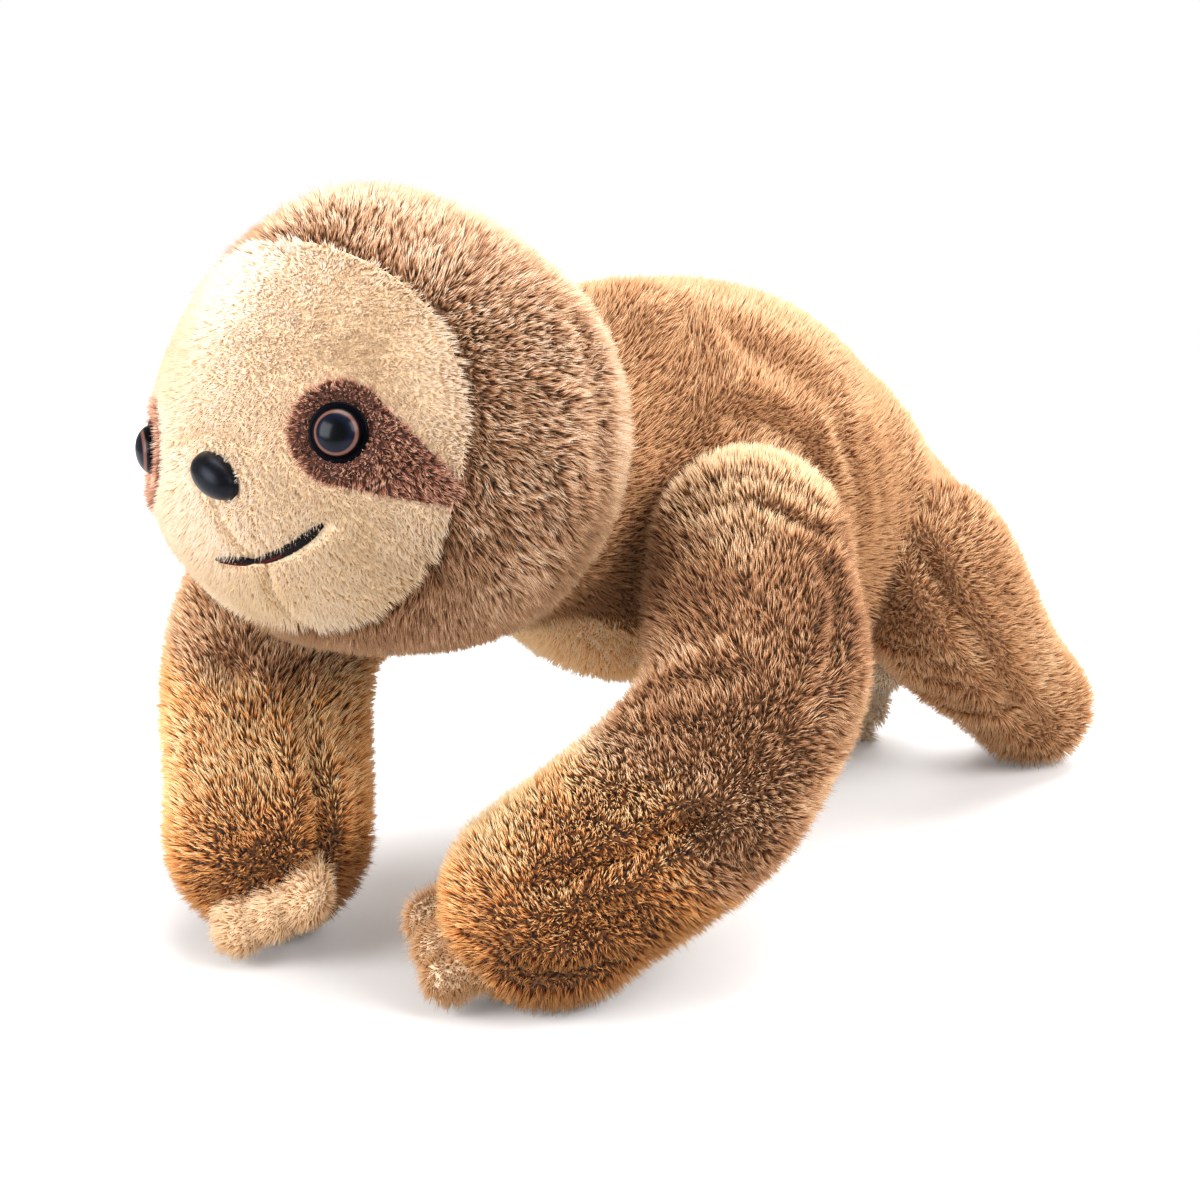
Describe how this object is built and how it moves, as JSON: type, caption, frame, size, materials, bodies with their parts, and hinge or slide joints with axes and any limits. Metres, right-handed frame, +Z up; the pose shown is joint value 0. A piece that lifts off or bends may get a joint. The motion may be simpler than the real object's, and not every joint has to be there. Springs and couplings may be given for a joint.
{
  "type": "weighted plush sloth",
  "caption": "Weighted plush sloth on all fours: fur fabric covers over stuffing, a bead pouch in the body, button eyes, stitched smile; head, arms and legs turn at their seams.",
  "frame": {"origin": "on the floor, under the middle of the whole animal's box", "axes": "+Z up; the animal faces -Y, its left side is +X"},
  "size_m": [0.26, 0.404, 0.2521],
  "materials": {
    "tan_fur": "long pile fur fabric",
    "belly_fur": "pale long pile fur fabric",
    "hood_fur": "grey-brown long pile fur fabric",
    "cream_fur": "short dense pile fur fabric",
    "patch_fur": "short pile plush",
    "claw_plush": "short pile plush",
    "fibre": "loose polyester fibre",
    "cotton": "plain woven cotton",
    "glass_beads": "loose glass beads",
    "eye_plastic": "polished dome",
    "nose_plastic": "polished dome",
    "washer_plastic": "moulded",
    "mouth_thread": "embroidery thread"
  },
  "bodies": {
    "body": {"body_cover": "tan_fur", "belly_panel": "belly_fur", "body_stuffing_upper": "fibre", "body_stuffing_lower": "fibre", "weight_pouch_top": "cotton", "weight_pouch_bottom": "cotton", "weight_beads": "glass_beads"},
    "neck": {"neck_tube": "fibre"},
    "head": {"head_hood": "hood_fur", "face_panel": "cream_fur", "head_stuffing": "fibre", "left_eye_patch": "patch_fur", "right_eye_patch": "patch_fur", "left_eye": "eye_plastic", "right_eye": "eye_plastic", "left_eye_washer": "washer_plastic", "right_eye_washer": "washer_plastic", "nose": "nose_plastic", "nose_washer": "washer_plastic", "mouth_stitching": "mouth_thread"},
    "left_arm": {"left_arm_cover": "tan_fur", "left_arm_stuffing": "fibre", "left_fore_claw_1": "claw_plush", "left_fore_claw_2": "claw_plush", "left_fore_claw_3": "claw_plush"},
    "right_arm": {"right_arm_cover": "tan_fur", "right_arm_stuffing": "fibre", "right_fore_claw_1": "claw_plush", "right_fore_claw_2": "claw_plush", "right_fore_claw_3": "claw_plush"},
    "left_leg": {"left_leg_cover": "tan_fur", "left_leg_stuffing": "fibre", "left_hind_claw_1": "claw_plush", "left_hind_claw_2": "claw_plush", "left_hind_claw_3": "claw_plush"},
    "right_leg": {"right_leg_cover": "tan_fur", "right_leg_stuffing": "fibre", "right_hind_claw_1": "claw_plush", "right_hind_claw_2": "claw_plush", "right_hind_claw_3": "claw_plush"}
  },
  "joints": [
    {"name": "head_turn", "type": "hinge", "parent": "body", "child": "neck", "pos_m": [0, -0.05813, 0.155], "axis": [0, 0, 1], "range_deg": [-8, 8]},
    {"name": "head_nod", "type": "hinge", "parent": "neck", "child": "head", "pos_m": [0, -0.05813, 0.155], "axis": [1, 0, 0], "range_deg": [-6, 6]},
    {"name": "left_shoulder", "type": "hinge", "parent": "body", "child": "left_arm", "pos_m": [0.067, -0.03513, 0.13], "axis": [1, 0, 0], "range_deg": [-12, 12]},
    {"name": "right_shoulder", "type": "hinge", "parent": "body", "child": "right_arm", "pos_m": [-0.067, -0.03513, 0.13], "axis": [1, 0, 0], "range_deg": [-12, 12]},
    {"name": "left_hip", "type": "hinge", "parent": "body", "child": "left_leg", "pos_m": [0.042, 0.12487, 0.083], "axis": [1, 0, 0], "range_deg": [-8, 8]},
    {"name": "right_hip", "type": "hinge", "parent": "body", "child": "right_leg", "pos_m": [-0.042, 0.12487, 0.083], "axis": [1, 0, 0], "range_deg": [-8, 8]}
  ]
}
